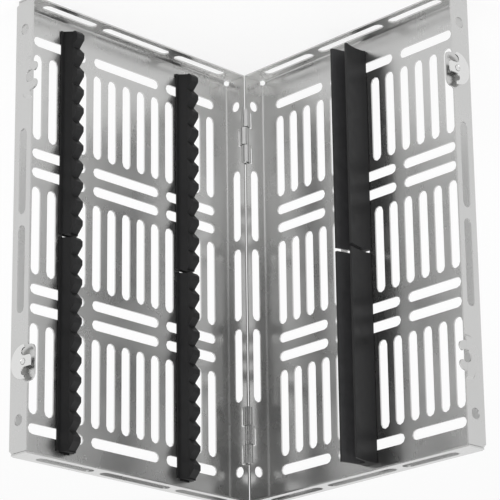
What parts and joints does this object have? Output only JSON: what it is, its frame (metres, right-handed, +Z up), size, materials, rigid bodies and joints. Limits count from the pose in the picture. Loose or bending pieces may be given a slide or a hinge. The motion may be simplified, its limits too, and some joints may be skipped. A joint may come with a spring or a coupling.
{
  "type": "sterilization tray",
  "caption": "Hinged sterilization tray: two perforated sheet-steel halves stand open like a book, with notched silicone racks, hold-down strips and quarter-turn latches.",
  "frame": {"origin": "centre of the bounding box's bottom face, in the pose of the picture: standing on its short walls, open by 88 degrees", "axes": "+Z up along the hinge, +X towards the base tray with the racks, -Y towards the open side"},
  "size_m": [0.2688, 0.1454, 0.28],
  "materials": {
    "base_tray": "satin",
    "lid_tray": "satin",
    "outer_rack_1": "satin",
    "outer_rack_2": "satin",
    "inner_rack_1": "satin",
    "inner_rack_2": "satin",
    "hold_down_strip_1": "satin",
    "hold_down_strip_2": "satin",
    "hinge_pin_1": "polished",
    "hinge_pin_2": "polished",
    "base_latch_knob": "satin",
    "base_latch_cam": "satin",
    "base_latch_rivet": "polished",
    "base_latch_wave_washer": "satin",
    "base_latch_backing_washer": "satin",
    "lid_latch_knob": "satin",
    "lid_latch_cam": "satin",
    "lid_latch_rivet": "polished",
    "lid_latch_wave_washer": "satin",
    "lid_latch_backing_washer": "satin"
  },
  "bodies": {
    "base": {"base_tray": "base_tray", "outer_rack_1": "outer_rack_1", "outer_rack_2": "outer_rack_2", "inner_rack_1": "inner_rack_1", "inner_rack_2": "inner_rack_2", "hinge_pin_1": "hinge_pin_1", "hinge_pin_2": "hinge_pin_2"},
    "lid": {"lid_tray": "lid_tray", "hold_down_strip_1": "hold_down_strip_1", "hold_down_strip_2": "hold_down_strip_2"},
    "base_latch": {"base_latch_knob": "base_latch_knob", "base_latch_cam": "base_latch_cam", "base_latch_rivet": "base_latch_rivet", "base_latch_wave_washer": "base_latch_wave_washer", "base_latch_backing_washer": "base_latch_backing_washer"},
    "lid_latch": {"lid_latch_knob": "lid_latch_knob", "lid_latch_cam": "lid_latch_cam", "lid_latch_rivet": "lid_latch_rivet", "lid_latch_wave_washer": "lid_latch_wave_washer", "lid_latch_backing_washer": "lid_latch_backing_washer"}
  },
  "joints": [
    {"name": "lid_hinge", "type": "hinge", "parent": "base", "child": "lid", "pos_m": [0, 0.06252, 0.14], "axis": [0, 0, 1], "range_deg": [-92, 88]},
    {"name": "base_latch_turn", "type": "hinge", "parent": "base", "child": "base_latch", "pos_m": [0.12375, -0.06563, 0.2277], "axis": [0.6947, -0.7193, 0], "range_deg": [0, 90]},
    {"name": "lid_latch_turn", "type": "hinge", "parent": "lid", "child": "lid_latch", "pos_m": [-0.12375, -0.06563, 0.0523], "axis": [-0.6947, -0.7193, 0], "range_deg": [0, 90]}
  ]
}
